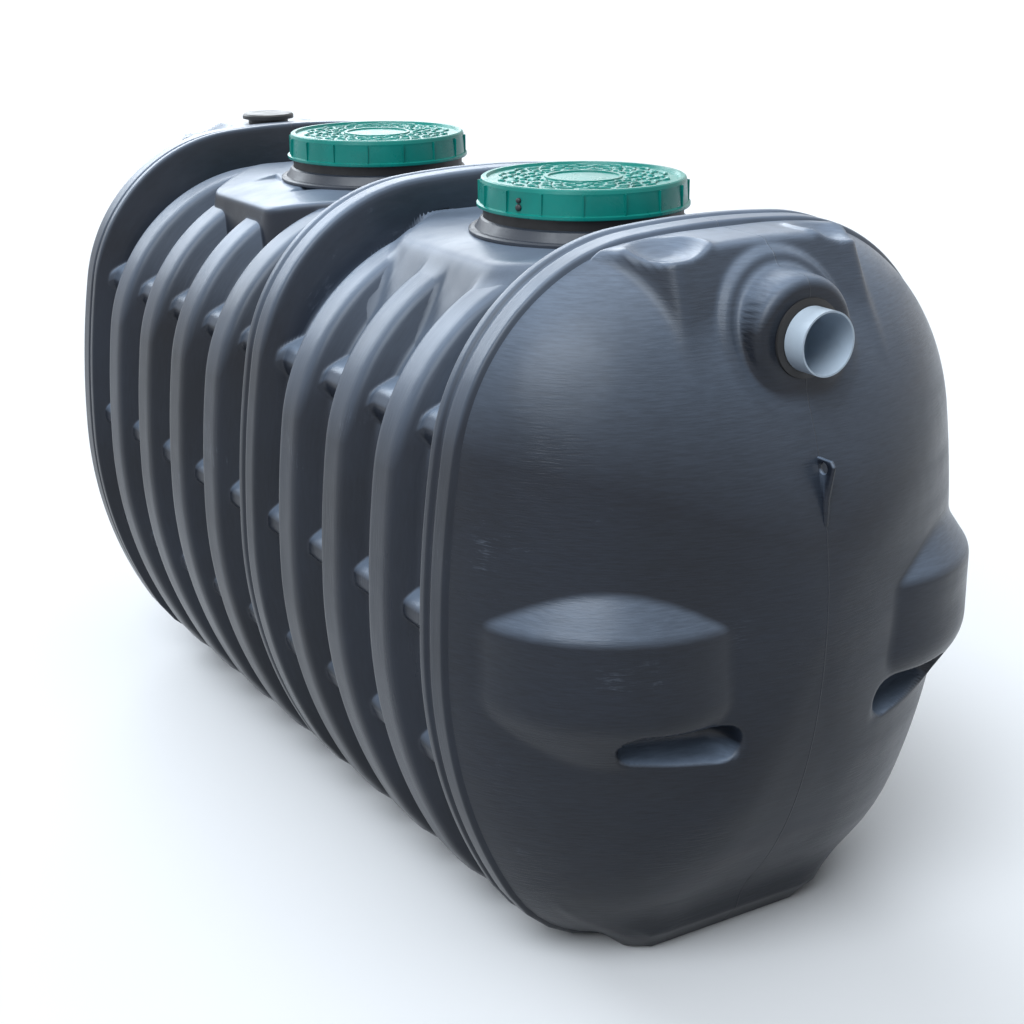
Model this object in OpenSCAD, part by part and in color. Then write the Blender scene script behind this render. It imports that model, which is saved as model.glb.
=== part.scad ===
// Blow-moulded septic tank of about 3000 litres, lying on its flat base.
// X is the width, Y the length with the inlet end at -Y, Z up; millimetres.

/* [Barrel] */
// Full width across the ribs
body_w = 1126; // [1060:1:1180]
// Height of the tall rings at the crown
ring_h = 1340; // [1310:1:1380]
// Fall from the crown of a tall ring to that of a rib
rib_fall = 72; // [62:1:80]
// Height of the widest level above the base
widest_h = 632; // [600:1:660]
// Wall thickness of the moulding
wall = 8; // [6:0.5:10]
// Radius of the side above the widest level
side_r = 2200; // [1900:10:2600]
// Radius of the shoulder
shoulder_r = 400; // [340:5:430]
// Radius of the crown
crown_r = 2000; // [1700:10:2400]
// Radius of the side below the widest level
keel_side_r = 950; // [900:5:1050]
// Radius of the lower corner
keel_r = 300; // [260:5:340]

/* [Ribs] */
// Distance from rib to rib
pitch = 191.5; // [184:0.5:200]
// Width of the crest of a rib or ring
crest_w = 78; // [70:1:86]
// Depth of the valleys
rib_d = 50; // [38:1:60]
// Run of a rib's sloping side
rib_run = 27; // [20:1:32]
// Rounding of the edges of a crest
rib_round = 13; // [8:1:18]
// Narrow ribs in the front bay
front_ribs = 3; // [3:1:3]
// Narrow ribs in the rear bay
rear_ribs = 4; // [4:1:4]
// Depth of the groove in a tall ring
groove_d = 6; // [3:0.5:8]
// Width of the bead beside the groove
bead_w = 15; // [10:1:20]
// Height of the lip of a web that bridges a valley
web_h = 44; // [30:1:60]
// Depth of a web's lip below the crest
web_drop = 18; // [10:1:30]
// Depth of the lowest row of webs under the widest level
web_low = 230; // [200:1:250]
// Height of the middle row of webs over the widest level
web_mid = 42; // [20:1:60]
// Fall of the top row of webs from the crown of the ribs
web_top = 264; // [240:1:290]

/* [Ends] */
// Length of a domed end beyond its ring
dome_l = 327; // [300:1:360]
// Rise of the dome's nose above the widest level
nose_rise = 82; // [60:1:110]
// Roundness of the dome, 2 is an ellipse
dome_power = 1.83; // [1.75:0.01:2]
// Roundness of the dome's underside
keel_power = 2.15; // [2:0.01:2.4]
// Step from the ring down to the dome
dome_step = 13; // [10:1:16]
// Height of the eye in the seam over the widest level
eye_up = 349; // [335:1:365]
// Hole of the eye
eye_d = 20; // [14:1:24]

/* [Lifting blocks] */
// Fall of a block's top below the ring's crown
block_drop = 11; // [6:1:20]
// Half width of a block at its back
block_w = 252; // [235:1:265]
// Half width of its front edge
block_front_w = 192; // [170:1:205]
// Reach of the front edge beyond the ring
block_reach = 126; // [110:1:140]
// Depth of the points where the front face runs out
block_deep = 218; // [205:1:230]
// How far the front face leans forward on its way down
block_lean = 82; // [70:1:95]
// Distance of a finger dish from the middle
dish_x = 178; // [168:1:188]
// Depth of a finger dish
dish_d = 24; // [14:1:30]

/* [Pipes] */
// Outer diameter of the pipes
pipe_d = 110; // [100:1:120]
// Wall of a pipe
pipe_wall = 3.2; // [2.5:0.1:5]
// Depth of the inlet's axis under the crown of the rings
inlet_fall = 161; // [155:1:176]
// Fall from the inlet to the outlet
outlet_fall = 30; // [10:1:40]
// Distance of a pipe's end from the ring
pipe_out = 296; // [285:1:310]
// Distance of the boss's face from the ring
boss_out = 244; // [235:1:255]
// Diameter of the boss
boss_d = 206; // [196:1:220]
// Diameter of the collar behind the boss
collar_d = 266; // [256:1:276]
// Height of the collar over the block's front face
collar_out = 14; // [8:1:20]
// Rubber between the pipe and the boss
gasket_w = 8; // [6:0.5:12]
// Length of pipe behind the boss's face
pipe_in = 140; // [120:1:170]

/* [Manholes] */
// Distance of the front manhole past the middle of its bay
front_shift = 3; // [-8:1:12]
// Distance of the rear manhole before the middle of its bay
rear_shift = 19; // [10:1:22]
// Half width of the front table, which slopes into the ribs
front_table_w = 304; // [290:1:312]
// Half width of the rear table, which stands clear of the ribs
rear_table_w = 344; // [330:1:355]
// Average distance of the rear table from the middle of the valleys at its ends
rear_table_gap = 31; // [27:1:40]
// Fall of the tables below the ribs' crown
table_fall = 4; // [0:1:8]
// Diameter of the ring at the neck's foot
step_d = 440; // [430:1:450]
// Diameter of the neck's shoulder
shoulder_d = 390; // [386:1:396]
// Height of the neck's shoulder above the table
shoulder_up = 28; // [24:1:34]
// Bore of the neck
neck_bore = 356; // [340:1:364]
// Diameter of the lid over its flange
lid_d = 408; // [404:1:416]
// Height of the seal between the shoulder and the lid
seal_h = 20; // [16:1:24]
// Height of the lid's skirt
lid_h = 55; // [50:1:60]
// Vertical ribs round a lid
lid_ribs = 16; // [12:1:20]

/* [Lugs and feet] */
// Height over the widest level at which a lug springs from the dome
lug_top = 158; // [145:1:170]
// Depth below the widest level of a lug's root
lug_low = 150; // [140:1:162]
// Height of a lug's outer face
lug_face = 150; // [135:1:160]
// Radius of a lug in plan
lug_r = 300; // [290:1:308]
// Distance of a lug's centre from the middle
lug_x = 227; // [220:1:234]
// Height of the finger pocket under a lug
pocket_h = 62; // [50:1:70]
// Half width of a foot
foot_w = 210; // [190:1:230]
// Reach of a foot beyond its ring
foot_reach = 72; // [60:1:85]

/* [Hidden] */
$fn = 64;
half_w = body_w / 2;
rib_h = ring_h - rib_fall;
table_h = rib_h - table_fall;
inlet_h = ring_h - inlet_fall;
outlet_h = inlet_h - outlet_fall;
bays = front_ribs + rear_ribs + 2;
front_face = (bays * pitch + crest_w) / 2;
rib_foot = crest_w / 2 + rib_run;
big = 3000;
black = "#2c3038";
rubber = "#17181c";
green = "#0f8f72";
grey = "#b9c3c9";

// Heights of the two crowns above the widest level
ring_top = ring_h - widest_h;
rib_top = rib_h - widest_h;

// Centre of hoop k along the tank; hoop 0 is the front ring
function hoop_y(k) = (k - bays / 2) * pitch;
middle_y = hoop_y(front_ribs + 1);
front_manhole_y = (hoop_y(0) + middle_y) / 2 - front_shift;
rear_manhole_y = (hoop_y(bays) + middle_y) / 2 - rear_shift;

// ---- Section: an oval of tangent arcs, each [x, z, radius, start, end], from keel to crown ----

// Centre of a circle of radius r inside two larger circles and tangent to both
function inner_centre(p0, r0, p1, r1, r) =
    let (a = r0 - r, b = r1 - r, d = norm(p1 - p0), e = (p1 - p0) / d)
    let (along = (a * a - b * b + d * d) / (2 * d), up = sqrt(a * a - along * along))
    p0 + along * e + up * [-e.y, e.x];

function half_oval(top) =
    let (low = [half_w - keel_side_r, 0], side = [half_w - side_r, 0], crown = [0, top - crown_r])
    let (down = widest_h - keel_r, across = sqrt(pow(keel_side_r - keel_r, 2) - down * down))
    let (keel = low + [across, -down], tilt = atan2(down, across))
    let (shoulder = inner_centre(side, side_r, crown, crown_r, shoulder_r))
    let (a1 = atan2(shoulder.y, shoulder.x - side.x))
    let (a2 = atan2(shoulder.y - crown.y, shoulder.x))
    [
        [keel.x, keel.y, keel_r, -90, -tilt],
        [low.x, 0, keel_side_r, -tilt, 0],
        [side.x, 0, side_r, 0, a1],
        [shoulder.x, shoulder.y, shoulder_r, a1, a2],
        [0, crown.y, crown_r, a2, 90]
    ];

function on_arc(a, inset, t) = [a[0] + (a[2] - inset) * cos(t), a[1] + (a[2] - inset) * sin(t)];

// Divisions of each arc
steps = [3, 3, 2, 5, 2];

// The right half, from the keel's edge to just short of the crown
function half_points(top, inset, fine) =
    let (arcs = half_oval(top))
    [for (k = [0:4]) let (n = steps[k] * fine)
        for (i = [0:n - 1]) on_arc(arcs[k], inset, arcs[k][3] + (arcs[k][4] - arcs[k][3]) * i / n)];

// Closed outline, anticlockwise from the middle of the base
function oval(top, inset, fine = 1) =
    let (right = half_points(top, inset, fine), n = len(right))
    concat([[0, inset - widest_h]], right, [[0, top - inset]],
        [for (i = [n - 1:-1:0]) [-right[i].x, right[i].y]]);

// ---- Skins: solids through rows of points ----

// Two triangles for each cell between rows i and i + 1 of n points
function cells(i, next, n) =
    [for (j = [0:n - 1]) let (k = (j + 1) % n)
        each [[i * n + j, next * n + j, i * n + k], [i * n + k, next * n + j, next * n + k]]];

// A closed loop of [along, inset, crown] points, outer ones towards -Y first, carried round the section
module hoop(loop) {
    rows = [for (p = loop) [for (q = oval(p[2], p[1])) [q.x, p[0], widest_h + q.y]]];
    m = len(rows);
    polyhedron([for (row = rows) each row], [for (i = [0:m - 1]) each cells(i, (i + 1) % m, len(rows[0]))]);
}

// Slope from the valley on the side s up to a crest with the crown given, its edge rounded
function slope(s, top) = [
    [s * (rib_foot + 3), rib_d, rib_top],
    [s * (crest_w / 2 + 0.4 * rib_round), 0.75 * rib_round, top],
    [s * (crest_w / 2 - 0.6 * rib_round), 0, top]];

function reversed(v) = [for (i = [len(v) - 1:-1:0]) v[i]];

// Inner skin of a hoop with a valley on each side
function lining(top) =
    let (y = pitch / 2, foot = rib_foot - 2, crest = crest_w / 2 - 5)
    [[-y, rib_d + wall, rib_top], [-foot, rib_d + wall, rib_top], [-crest, wall, top],
        [crest, wall, top], [foot, rib_d + wall, rib_top], [y, rib_d + wall, rib_top]];

// ---- Barrel ----

// Arc of a rib's crest that holds a level
function arc_at(level) =
    [for (a = half_oval(rib_top)) if (a[1] + a[2] * sin(a[4]) > level) a][0];

// How far a web is let into what it stands on
web_root = 12;

// Section of a web, outwards from the valley's floor and upwards: a ramp, a lip, and a face that fades
function web_section() =
    let (out = rib_d - web_drop, half = web_h / 2, ramp = half + out + web_root - 5)
    [[-rib_d, ramp], [-web_root, ramp], [out - 5, half], [out, half - 6], [out, 6 - half],
        [out / 2, -half - 8], [-web_root, -web_h - web_root], [-rib_d, -web_h - web_root]];

// Half webs on the +Y side of a hoop, rooted in its slope and in the middle of the valley's wall
module webs() {
    y0 = rib_foot - web_root;
    y1 = pitch / 2;
    difference() {
        for (s = [0, 1], level = [-web_low, web_mid, rib_top - web_top]) {
            a = arc_at(level);
            mirror([s, 0, 0]) translate([a[0], y1, widest_h + a[1]])
                rotate([90, -asin((level - a[1]) / a[2]), 0])
                translate([a[2] - rib_d, 0, 0]) linear_extrude(y1 - y0) polygon(web_section());
        }
        translate([0, y1 + 1, widest_h]) rotate([90, 0, 0]) linear_extrude(y1 - y0 + 2)
            polygon(oval(rib_top, rib_d + wall / 2));
    }
}

// Depth to which the sides of a table run, below the floor of the valleys
table_deep = 180;

// Octagon of half width w whose half length is longer by more
function octagon(w, more, z) = let (c = (2 - sqrt(2)) * w, l = w + more) [
    [w, c - l, z], [w, l - c, z], [w - c, l, z], [c - w, l, z],
    [-w, l - c, z], [-w, c - l, z], [c - w, -l, z], [w - c, -l, z]];

// Table round a manhole at y whose sides lean outwards, a gap inside the bay between the hoops
// first and last and cut off at its walls, with room over it
module table_room(w, gap, lean, y, first, last, inset, over) {
    y0 = hoop_y(first) + rib_foot;
    y1 = hoop_y(last) - rib_foot;
    more = (y1 - y0) / 2 - gap - w;
    top_w = w - inset * (1 - sin(lean)) / cos(lean);
    low_w = top_w + table_deep * tan(lean);
    top = table_h - inset;
    rows = [octagon(low_w, more, top - table_deep), octagon(top_w, more, top), octagon(top_w, more, top + over)];
    m = over > 0 ? 2 : 1;
    intersection() {
        translate([0, y, 0]) polyhedron([for (i = [0:m]) each rows[i]], concat(
            [[for (j = [0:7]) j]], [for (i = [0:m - 1]) each cells(i, i + 1, 8)],
            [[for (j = [7:-1:0]) m * 8 + j]]));
        translate([-big / 2, y0 + inset, 0]) cube([big, y1 - y0 - 2 * inset, big]);
    }
}

module front_room(inset = 0, over = 0)
    table_room(front_table_w, -37, 28, front_manhole_y, 0, front_ribs + 1, inset, over);

module rear_room(inset = 0, over = 0)
    table_room(rear_table_w, pitch / 2 - rib_foot + rear_table_gap, 4, rear_manhole_y, front_ribs + 1, bays,
        inset, over);

// What the tables leave of a hoop
module clear_of_tables()
    color(black) difference() {
        children();
        front_room(over = 40);
        rear_room(over = 40);
    }

module rib(k) {
    y = pitch / 2;
    clear_of_tables() translate([0, hoop_y(k), 0]) {
        hoop(concat([[y, rib_d, rib_top]], slope(1, rib_top), reversed(slope(-1, rib_top)),
            [[-y, rib_d, rib_top]], lining(rib_top)));
        for (s = [0, 1]) mirror([0, s, 0]) webs();
    }
}

module middle_ring() {
    y = pitch / 2;
    edge = crest_w / 2 - bead_w;
    clear_of_tables() translate([0, middle_y, 0]) {
        hoop(concat([[y, rib_d, rib_top]], slope(1, ring_top),
            [[edge - 2, 0, ring_top], [edge - groove_d - 2, groove_d, ring_top],
            [groove_d + 2 - edge, groove_d, ring_top], [2 - edge, 0, ring_top]],
            reversed(slope(-1, ring_top)), [[-y, rib_d, rib_top]], lining(ring_top)));
        for (s = [0, 1]) mirror([0, s, 0]) webs();
    }
}

// A ring at an end of the barrel, with its dome towards -Y
module end_ring() {
    y = pitch / 2;
    edge = crest_w / 2 - bead_w;
    hoop(concat([[y, rib_d, rib_top]], slope(1, ring_top), [[edge - 2, 0, ring_top],
        [edge - groove_d - 2, groove_d, ring_top], [edge - 3 * groove_d, 2, ring_top],
        [-crest_w / 2, dome_step, ring_top], [-crest_w / 2, dome_step + wall, ring_top],
        [crest_w / 2 - 5, wall + 2, ring_top], [rib_foot - 2, rib_d + wall, rib_top],
        [y, rib_d + wall, rib_top]]));
    webs();
}

module front_ring()
    clear_of_tables() translate([0, hoop_y(0), 0]) end_ring();

module rear_ring()
    clear_of_tables() translate([0, hoop_y(bays), 0]) rotate(180) end_ring();

// A table's top and sides, closed below by the valleys of the hoops it stands on
module table(y) {
    color(black) difference() {
        children(0);
        children(1);
        translate([0, front_face, widest_h]) rotate([90, 0, 0]) linear_extrude(2 * front_face)
            polygon(oval(rib_top, rib_d + wall, 3));
        translate([0, y, table_h - table_deep]) cylinder(h = 2 * table_deep, d = neck_bore);
    }
}

module front_table()
    table(front_manhole_y) {
        front_room();
        front_room(wall);
    }

module rear_table()
    table(rear_manhole_y) {
        rear_room();
        rear_room(wall);
    }

// ---- Domed ends, drawn for the front; the rear one is turned about Z ----
// Each shape takes an inset: 0 draws its outside, the wall's thickness its inside.

dome_rows = 7;

// Share of the section that is left at the fraction t of the way to the nose
function share(t, power) = pow(1 - pow(t, power), 1 / power);

// The fraction at which the dome starts, so that it springs from the ring at a slope
dome_start = 0.19;

function dome_row(inset, t) =
    let (fall = (t - dome_start) / (1 - dome_start))
    let (s = share(t, dome_power) / share(dome_start, dome_power))
    let (u = share(t, keel_power) / share(dome_start, keel_power))
    [for (p = oval(ring_top, dome_step + inset))
        [p.x * s, -fall * (dome_l - inset), widest_h + p.y * (p.y > 0 ? s : u) + nose_rise * fall]];

module plain_dome(inset) {
    rows = [for (i = [0:dome_rows - 1])
        dome_row(inset, dome_start + (1 - dome_start) * sin(90 * pow(i / dome_rows, 0.92)))];
    n = len(rows[0]);
    m = dome_rows;
    points = concat([for (row = rows) each row],
        [[0, inset - dome_l, widest_h + nose_rise], [0, 0, widest_h]]);
    polyhedron(points, concat(
        [for (i = [0:m - 2]) each cells(i, i + 1, n)],
        [for (j = [0:n - 1]) [(m - 1) * n + j, m * n, (m - 1) * n + (j + 1) % n]],
        [for (j = [0:n - 1]) [(j + 1) % n, m * n + 1, j]]));
}

// Wedge between the crown and two points low on the dome, all its corners rounded
module block_wedge(inset) {
    r = 16;
    $fn = inset > 0 ? 6 : 10;
    hull() for (s = [-1, 1]) {
        translate([s * (block_front_w - r), r - block_reach, ring_h - r]) sphere(r - inset);
        translate([s * (block_w - r), 0, ring_h - r]) sphere(r - inset);
        translate([s * (block_front_w + 13 - r), r - block_reach - block_lean, ring_h - block_deep])
            sphere(r - inset);
        translate([s * (block_w + 25 - r), 0, ring_h - block_deep / 2]) sphere(r - inset);
    }
}

// Lifting block: the wedge under the curve of the crown, with a dish for the fingers at each end
module block(inset) {
    bowl = 46;
    size = [66, 84, bowl] + inset * [1, 1, 1];
    z = ring_h - block_drop - pow(dish_x, 2) / (2 * crown_r) - dish_d + bowl;
    $fn = inset > 0 ? 12 : 16;
    difference() {
        intersection() {
            block_wedge(inset);
            translate([0, 20, widest_h]) rotate([90, 0, 0]) linear_extrude(big)
                polygon(oval(ring_top, block_drop + inset, 2));
        }
        for (s = [-1, 1]) translate([s * dish_x, 26 - block_reach, z]) scale(size) sphere(1);
    }
}

// Boss of a pipe, and a collar that stands a little over the block's leaning face
module boss(h, inset) {
    r = boss_d / 2;
    e = 14;
    $fn = inset > 0 ? 24 : 36;
    translate([0, 0, h]) rotate([90, 0, 0]) rotate_extrude() polygon(concat(
        [[0, 40], [r - inset, 40]],
        [for (a = [0:45:90]) [r - e + (e - inset) * cos(a), boss_out - e + (e - inset) * sin(a)]],
        [[0, boss_out - inset]]));
    intersection() {
        translate([0, 0, h]) rotate([90, 0, 0]) cylinder(h = boss_out, d = collar_d - 2 * inset);
        translate([0, -collar_out, 0]) block_wedge(inset);
    }
}

// Crescent of a lug: a section with a sloping shoulder and underside, turned about an upright axis
module lug(inset) {
    top = widest_h + lug_top;
    low = widest_h - lug_low;
    face = widest_h + 84;
    $fn = inset > 0 ? 20 : 32;
    translate([lug_x, 0, 0]) rotate_extrude(angle = 118, start = -108) offset(delta = -inset) polygon([
        [60, low], [lug_r - 64, low], [lug_r - 8, face - lug_face + 8], [lug_r, face - lug_face + 22],
        [lug_r, face - 8], [lug_r - 6, face + 8], [lug_r - 50, top], [60, top]]);
}

// Pocket for the fingers under the inner end of a lug, deeper towards the middle
module pocket(inset) {
    z = widest_h - lug_low + 34;
    size = [34, 52, pocket_h / 2] + inset * [1, 1, 1];
    hull() {
        translate([lug_x - 38, 46 - lug_r, z - 4]) scale(size) sphere(1, $fn = 10);
        translate([lug_x + 92, 82 - lug_r, z]) scale(size) sphere(1, $fn = 10);
    }
}

// Foot that widens and reaches forward on its way up into the dome.
// Each level is [height, growth of the half width and of the reach, the corner's run along X and Y].
module foot(inset) {
    levels = [[inset, 0, 0, 26, 26], [50, 46, 40, 60, 52], [130, 140, 64, 152, 78]];
    hull() for (level = levels) {
        w = foot_w + level[1] - inset;
        reach = foot_reach + level[2] - inset;
        side = [[w, 20], [w, level[4] - reach], [w - level[3], -reach]];
        translate([0, 0, level[0]]) linear_extrude(1)
            polygon(concat(side, [for (p = reversed(side)) [-p.x, p.y]]));
    }
}

module dome_shape(h, inset) {
    difference() {
        union() {
            plain_dome(inset);
            for (s = [0, 1]) mirror([s, 0, 0]) lug(inset);
            foot(inset);
        }
        for (s = [0, 1]) mirror([s, 0, 0]) pocket(inset);
    }
    block(inset);
    boss(h, inset);
}

// Eye pinched in the moulding's seam
module eye() {
    y = 1 - dome_l;
    z = widest_h + eye_up;
    translate([-4, 0, 0]) difference() {
        rotate([90, 0, 90]) linear_extrude(8) polygon([[y + 60, z - 140], [y + 14, z - 133], [y + 11, z - 60],
            [y, z - 4], [y + 8, z + 6], [y + 60, z + 6]]);
        translate([-1, y + 25, z - 10]) rotate([0, 90, 0]) cylinder(h = 10, d = eye_d, $fn = 20);
    }
}

module dome(h) {
    bore = pipe_d / 2 + gasket_w + 0.3;
    color(black) translate([0, -front_face, 0]) difference() {
        union() {
            dome_shape(h, 0);
            eye();
        }
        dome_shape(h, wall);
        translate([0, 0, h]) rotate([90, 0, 0]) cylinder(h = dome_l, r = bore, $fn = 36);
        translate([-big / 2, 0, -big / 2]) cube(big);
        translate([-big / 2, -big / 2, -big]) cube(big);
    }
}

module front_dome() dome(inlet_h);

module rear_dome() rotate(180) dome(outlet_h);

// ---- Manholes ----

lid_low = table_h + shoulder_up + seal_h;
lid_top = lid_low + lid_h;
neck_d = neck_bore + 2 * wall;

module neck(y)
    color(black) translate([0, y, table_h]) rotate_extrude() polygon([
        [neck_bore / 2, 0], [step_d / 2, 0], [step_d / 2, 5], [step_d / 2 - 4, 8], [step_d / 2 - 12, 8],
        [shoulder_d / 2 + 2, shoulder_up - 3], [shoulder_d / 2 - 2, shoulder_up], [neck_d / 2, shoulder_up],
        [neck_d / 2, shoulder_up + seal_h + lid_h - 12], [neck_bore / 2, shoulder_up + seal_h + lid_h - 12]]);

module seal(y)
    color(rubber) translate([0, y, table_h + shoulder_up]) difference() {
        cylinder(h = seal_h, d = shoulder_d - 6);
        translate([0, 0, -1]) cylinder(h = seal_h + 2, d = neck_d);
    }

// Screw lid: flange, ribbed skirt, rim bead, and a flat top with a raised ring
module lid(y) {
    r = lid_d / 2;
    plate = lid_h - 12;
    color(green) translate([0, y, lid_low]) union() {
        rotate_extrude() polygon([
            [neck_d / 2 + 1, 0], [r - 1, 0], [r, 1.5], [r, 6], [r - 5, 8], [r - 7, lid_h - 12],
            [r - 7, lid_h - 8], [r - 9, lid_h - 2], [r - 12, lid_h], [r - 19, lid_h], [r - 22, lid_h - 5],
            [75, lid_h - 4], [74, lid_h - 1], [68, lid_h - 1], [67, lid_h - 4], [0, lid_h - 4],
            [0, plate], [neck_d / 2 + 1, plate]]);
        for (i = [0:lid_ribs - 1]) rotate((i + 0.5) * 360 / lid_ribs)
            translate([r - 10, -1.5, 5]) cube([7.5, 3, lid_h - 14]);
    }
}

// ---- Pipes ----

module pipe(h)
    color(grey) translate([0, -front_face - boss_out + pipe_in, h]) rotate([90, 0, 0]) difference() {
        cylinder(h = pipe_in + pipe_out - boss_out, d = pipe_d);
        translate([0, 0, -1]) cylinder(h = big, d = pipe_d - 2 * pipe_wall);
    }

// Rubber sleeve between the boss and the pipe, with a lip on each side of the boss's wall
module gasket(h) {
    r = pipe_d / 2;
    out = r + gasket_w;
    color(rubber) translate([0, -front_face - boss_out, h]) rotate([90, 0, 0]) rotate_extrude() polygon([
        [r, -wall - 14], [out - 3, -wall - 12], [out + 4, -wall - 5], [out + 4, -wall], [out, -wall],
        [out, 0], [out + 5, 0], [out + 4, 4], [r + 3, 7], [r, 7]]);
}

module vent_cap()
    color(rubber) rotate(180) translate([0, -front_face - 62, ring_h - block_drop]) rotate_extrude()
        polygon([[0, 0], [50, 0], [50, 10], [64, 12], [64, 20], [60, 24], [0, 26]]);

front_dome();
front_ring();
rib(1);  // rib_1
rib(2);  // rib_2
rib(3);  // rib_3
middle_ring();
rib(5);  // rib_4
rib(6);  // rib_5
rib(7);  // rib_6
rib(8);  // rib_7
rear_ring();
rear_dome();
front_table();
rear_table();
neck(front_manhole_y);  // front_neck
neck(rear_manhole_y);  // rear_neck
seal(front_manhole_y);  // front_seal
seal(rear_manhole_y);  // rear_seal
lid(front_manhole_y);  // front_lid
lid(rear_manhole_y);  // rear_lid
pipe(inlet_h);  // inlet_pipe
rotate(180) pipe(outlet_h);  // outlet_pipe
gasket(inlet_h);  // inlet_gasket
rotate(180) gasket(outlet_h);  // outlet_gasket
vent_cap();
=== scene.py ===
import bpy
import math
import numpy as np
from mathutils import Matrix, Vector


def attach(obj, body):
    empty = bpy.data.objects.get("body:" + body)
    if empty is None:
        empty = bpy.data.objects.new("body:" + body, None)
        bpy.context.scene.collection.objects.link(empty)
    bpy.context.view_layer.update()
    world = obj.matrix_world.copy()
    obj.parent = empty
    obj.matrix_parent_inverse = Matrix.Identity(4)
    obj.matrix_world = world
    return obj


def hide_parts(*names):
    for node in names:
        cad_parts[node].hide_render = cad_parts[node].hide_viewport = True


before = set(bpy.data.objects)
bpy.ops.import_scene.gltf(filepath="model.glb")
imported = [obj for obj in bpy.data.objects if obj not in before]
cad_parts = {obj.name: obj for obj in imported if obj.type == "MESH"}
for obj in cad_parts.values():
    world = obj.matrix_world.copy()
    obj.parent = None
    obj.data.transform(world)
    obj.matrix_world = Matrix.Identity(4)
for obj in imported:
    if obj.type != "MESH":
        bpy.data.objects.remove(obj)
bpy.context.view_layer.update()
print("frame loaded")

# Lengths are millimetres until meshPiece turns them into metres.
# Heights inside the barrel and the ends are taken from its widest level.
barrel = dict(
    halfWidth=563.0, widest=632.0, ringTop=708.0, ribTop=636.0,
    sideRadius=2200.0, shoulderRadius=400.0, crownRadius=2000.0,
    keelSideRadius=950.0, keelRadius=300.0,
    # points on half the flat base and on each arc of the outline; dense gives a stretch of an arc,
    # from one share to another, a number of its own
    baseCount=4, counts=(5, 30, 18, 32, 10),
    dense=((0, 0, 0), (0.40, 0.68, 40), (0, 0.38, 34), (0.03, 0.33, 42), (0, 0, 0)),
    pitch=191.5, middleHoop=4.5, crest=78.0, ribDepth=50.0, ribRun=27.0,
    wall=8.0, innerEase=2.0, endInset=22.0,
    # points along a hoop's crest with their insets; the tall rings have a groove in theirs
    crests=dict(rib=((0, 5), (17, 0), (78, 0)),
                middle=((0, 3), (9, 0), (45, 0), (50, 6), (55, 6), (60, 1), (78, 1)),
                end=((0, 13), (6, 3), (45, 2), (50, 7), (55, 7), (60, 0), (78, 0))),
    # softness of the hoops' edges and the rows across them
    softRows=dict(rib=(5.0, 50), middle=(2.8, 70), end=(2.4, 60)),
    webLevels=(-230.0, 42.0, 372.0), webOut=27.0, webHalf=18.0, webRamp=27.0, webLip=6.0, webFall=1.15,
    webSoft=9.0, webFloor=-20.0, webSpan=90.0, webGap=0.01, webJoin=2.5, webCrest=12.0)


def hoopCentre(index):
    # place along Y of a hoop's middle, counted from the front
    return (index - barrel["middleHoop"]) * barrel["pitch"]


ringFace = hoopCentre(9) + barrel["crest"] / 2


def smoothMax(a, b, k):
    # the larger of a and b, rounded over where they come within k of each other
    h = np.clip(0.5 + 0.5 * (a - b) / k, 0, 1)
    return b + (a - b) * h + k * h * (1 - h)


def smoothMin(a, b, k):
    # the smaller of a and b, rounded over in the same way
    return -smoothMax(-a, -b, k)


def smoothStep(a, b, x):
    # from 0 where x is a to 1 where it is b, along a soft S
    t = np.clip((x - a) / (b - a), 0, 1)
    return t * t * (3 - 2 * t)


def gridFaces(rows, columns, closeRows=False, closeColumns=True, flip=False):
    # quads between neighbouring rows and columns of points laid out row by row
    i, j = np.meshgrid(np.arange(rows if closeRows else rows - 1),
                       np.arange(columns if closeColumns else columns - 1), indexing="ij")
    down, across = (i + 1) % rows, (j + 1) % columns
    quads = np.stack([i * columns + j, i * columns + across,
                      down * columns + across, down * columns + j], -1).reshape(-1, 4)
    return quads[:, ::-1] if flip else quads


def meshPiece(name, points, quads, material, tris=None):
    # a mesh object from points in millimetres and whole arrays of faces, without the points no face uses
    mesh = bpy.data.meshes.new(name)
    points = np.asarray(points, dtype=float).reshape(-1, 3) / 1000
    corners = [quads.reshape(-1)]
    sizes = [np.full(len(quads), 4)]
    if tris is not None:
        corners.append(tris.reshape(-1))
        sizes.append(np.full(len(tris), 3))
    corners, sizes = np.concatenate(corners), np.concatenate(sizes)
    used = np.unique(corners)
    place = np.zeros(len(points), dtype=np.int32)
    place[used] = np.arange(len(used))
    points, corners = points[used], place[corners]
    mesh.vertices.add(len(points))
    mesh.vertices.foreach_set("co", points.reshape(-1))
    mesh.loops.add(len(corners))
    mesh.loops.foreach_set("vertex_index", corners.astype(np.int32))
    mesh.polygons.add(len(sizes))
    starts = np.concatenate([[0], np.cumsum(sizes)[:-1]])
    mesh.polygons.foreach_set("loop_start", starts.astype(np.int32))
    mesh.polygons.foreach_set("use_smooth", np.ones(len(sizes), dtype=bool))
    mesh.update(calc_edges=True)
    mesh.validate()
    piece = bpy.data.objects.new(name, mesh)
    bpy.context.scene.collection.objects.link(piece)
    mesh.materials.append(material)
    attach(piece, "root")
    return piece


def newMaterial(name):
    material = bpy.data.materials.new(name)
    material.use_nodes = True
    tree = material.node_tree
    tree.nodes.clear()
    shader = tree.nodes.new("ShaderNodeBsdfPrincipled")
    output = tree.nodes.new("ShaderNodeOutputMaterial")
    tree.links.new(shader.outputs[0], output.inputs[0])
    return material, tree, shader


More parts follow.
